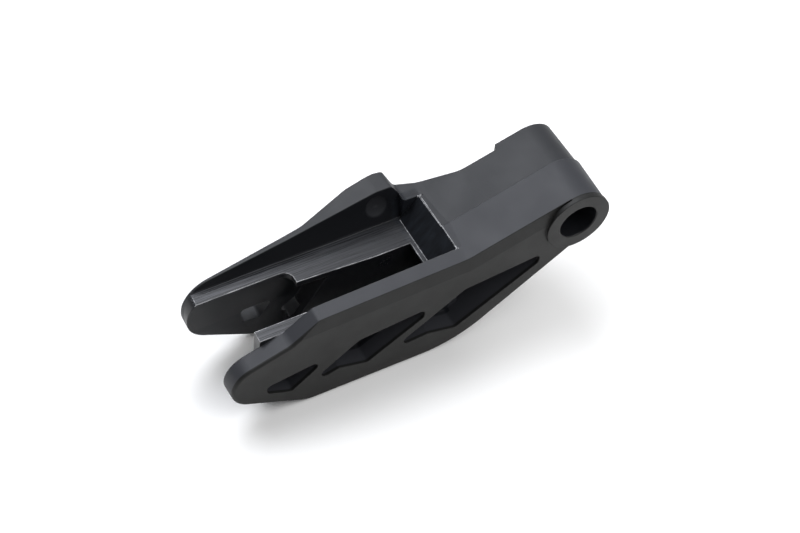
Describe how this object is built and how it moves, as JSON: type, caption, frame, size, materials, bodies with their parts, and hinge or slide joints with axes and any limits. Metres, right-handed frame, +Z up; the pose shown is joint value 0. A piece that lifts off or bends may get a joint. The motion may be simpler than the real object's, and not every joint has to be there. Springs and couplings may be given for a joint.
{
  "type": "chain guide",
  "caption": "Moulded black plastic chain guide for a motorbike: a bored boss and solid tongue carry two cheeks with a channel, slide ledges and a slot between them.",
  "frame": {"origin": "middle of the bore through the boss", "axes": "+X along the guide from the noses to the boss, +Y across it along the bore towards the cheek with the lug, +Z up; the flat bottom lies level below the bore"},
  "size_m": [0.142, 0.0453, 0.0566],
  "materials": {
    "moulded_plastic": "matte black, as moulded, with glossier slide faces"
  },
  "bodies": {
    "root": {"guide_body": "moulded_plastic"}
  },
  "joints": []
}
